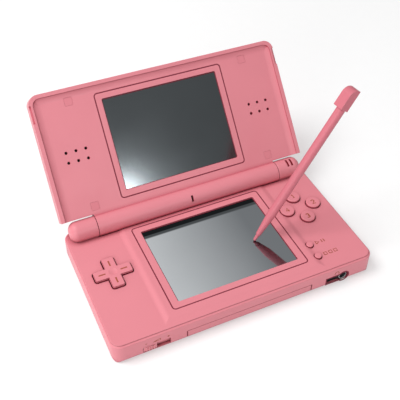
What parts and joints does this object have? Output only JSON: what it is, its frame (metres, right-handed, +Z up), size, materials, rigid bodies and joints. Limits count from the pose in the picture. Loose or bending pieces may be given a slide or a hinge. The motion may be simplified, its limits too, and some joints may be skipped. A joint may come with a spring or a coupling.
{
  "type": "clamshell handheld game console",
  "caption": "Clamshell handheld console with two screens, hinged lid, control pad, buttons, shoulder buttons, sliders, slot cover and a separate stylus.",
  "frame": {"origin": "on the resting plane, under the centre of the lower case", "axes": "+X to the right along the hinge, +Y back towards the hinge, +Z up"},
  "size_m": [0.1361, 0.1195, 0.0836],
  "materials": {
    "shell_pink": "smooth satin plastic",
    "touch_glass": "smooth clear film over a grey display",
    "window_glass": "smooth dark window",
    "display_panel": "dark display module",
    "circuit_board": "green board",
    "black_plastic": "plain",
    "grey_rubber": "matt",
    "pink_rubber": "matt",
    "sheet_metal": "plain",
    "steel": "plain",
    "battery_wrap": "wrapped cell",
    "inner_plastic": "plain",
    "light_pipe": "dark clear plastic",
    "flex_film": "thin film"
  },
  "bodies": {
    "base": {"base_bottom_case": "shell_pink", "base_top_case": "shell_pink", "touch_screen_frame": "shell_pink", "touch_panel": "touch_glass", "lower_display": "display_panel", "shield_plate": "sheet_metal", "main_board": "circuit_board", "board_chips": "black_plastic", "pad_membrane": "grey_rubber", "face_membrane": "grey_rubber", "menu_membrane": "grey_rubber", "game_card_slot": "sheet_metal", "cartridge_connector": "black_plastic", "battery": "battery_wrap", "battery_cover": "shell_pink", "battery_cover_screw": "steel", "case_screws": "steel", "screw_plugs": "pink_rubber", "headset_jack": "black_plastic", "power_inlet": "black_plastic", "power_switch": "sheet_metal", "volume_control": "sheet_metal", "left_shoulder_switch": "sheet_metal", "right_shoulder_switch": "sheet_metal", "shoulder_pins": "steel", "wireless_module": "sheet_metal", "stylus_tube": "inner_plastic", "status_light_pipes": "light_pipe", "hinge_bush": "steel"},
    "click_cam": {"hinge_click_cam": "steel"},
    "lid": {"lid_outer_case": "shell_pink", "lid_inner_case": "shell_pink", "upper_screen_frame": "shell_pink", "upper_window": "window_glass", "upper_display": "display_panel", "left_speaker": "black_plastic", "right_speaker": "black_plastic", "lid_screw_covers": "pink_rubber", "lid_screws": "steel", "microphone": "black_plastic", "lid_cable": "flex_film"},
    "pad_rocker": {"pad_pivot": "grey_rubber"},
    "pad": {"direction_pad": "shell_pink"},
    "button_top": {"face_button_top": "shell_pink"},
    "button_right": {"face_button_right": "shell_pink"},
    "button_bottom": {"face_button_bottom": "shell_pink"},
    "button_left": {"face_button_left": "shell_pink"},
    "start": {"start_button": "shell_pink"},
    "select": {"select_button": "shell_pink"},
    "shoulder_left": {"left_shoulder_button": "shell_pink"},
    "shoulder_right": {"right_shoulder_button": "shell_pink"},
    "power_knob": {"power_slider": "shell_pink"},
    "volume_knob": {"volume_slider": "shell_pink"},
    "slot_cover": {"cartridge_slot_cover": "shell_pink"},
    "stylus": {"stylus_shaft": "shell_pink", "stylus_cap": "shell_pink"}
  },
  "joints": [
    {"name": "lid_close", "type": "hinge", "parent": "base", "child": "click_cam", "pos_m": [0.0475, 0.0326, 0.014], "axis": [-1, 0, 0], "range_deg": [-130.5, 0]},
    {"name": "lid_past_click", "type": "hinge", "parent": "click_cam", "child": "lid", "pos_m": [0, 0.0326, 0.014], "axis": [-1, 0, 0], "range_deg": [0, 24.5]},
    {"name": "stylus_lay_down", "type": "hinge", "parent": "base", "child": "stylus", "pos_m": [0.04665, -0.01681, -0.0092], "axis": [0.3706, 0.6859, 0.6262], "range_deg": [0, 138.1]},
    {"name": "pad_tilt_fore_aft", "type": "hinge", "parent": "base", "child": "pad_rocker", "pos_m": [-0.0521, 0.0034, 0.009], "axis": [1, 0, 0], "range_deg": [-2.2, 2.2], "stiffness_Nm_per_rad": 0.02},
    {"name": "pad_tilt_side", "type": "hinge", "parent": "pad_rocker", "child": "pad", "pos_m": [-0.0521, 0.0034, 0.009], "axis": [0, 1, 0], "range_deg": [-2.2, 2.2], "stiffness_Nm_per_rad": 0.02},
    {"name": "top_press", "type": "slide", "parent": "base", "child": "button_top", "axis": [0, 0, -1], "range_m": [0, 0.0009], "stiffness_N_per_m": 200},
    {"name": "right_press", "type": "slide", "parent": "base", "child": "button_right", "axis": [0, 0, -1], "range_m": [0, 0.0009], "stiffness_N_per_m": 200},
    {"name": "bottom_press", "type": "slide", "parent": "base", "child": "button_bottom", "axis": [0, 0, -1], "range_m": [0, 0.0009], "stiffness_N_per_m": 200},
    {"name": "left_press", "type": "slide", "parent": "base", "child": "button_left", "axis": [0, 0, -1], "range_m": [0, 0.0009], "stiffness_N_per_m": 200},
    {"name": "start_press", "type": "slide", "parent": "base", "child": "start", "axis": [0, 0, -1], "range_m": [0, 0.0008], "stiffness_N_per_m": 200},
    {"name": "select_press", "type": "slide", "parent": "base", "child": "select", "axis": [0, 0, -1], "range_m": [0, 0.0008], "stiffness_N_per_m": 200},
    {"name": "left_shoulder_press", "type": "hinge", "parent": "base", "child": "shoulder_left", "pos_m": [-0.0565, 0.0313, 0.0046], "axis": [-1, 0, 0], "range_deg": [0, 4.5], "stiffness_Nm_per_rad": 0.03},
    {"name": "right_shoulder_press", "type": "hinge", "parent": "base", "child": "shoulder_right", "pos_m": [0.0565, 0.0313, 0.0046], "axis": [-1, 0, 0], "range_deg": [0, 4.5], "stiffness_Nm_per_rad": 0.03},
    {"name": "power_slide", "type": "slide", "parent": "base", "child": "power_knob", "axis": [0, 1, 0], "range_m": [0, 0.003], "stiffness_N_per_m": 150},
    {"name": "volume_slide", "type": "slide", "parent": "base", "child": "volume_knob", "axis": [1, 0, 0], "range_m": [0, 0.0064]},
    {"name": "cover_pull", "type": "slide", "parent": "base", "child": "slot_cover", "axis": [0, -1, 0], "range_m": [0, 0.032]}
  ],
  "couplings": [
    {"joint": "stylus_lay_down", "follows": "lid_close", "ratio": -1.0579}
  ]
}
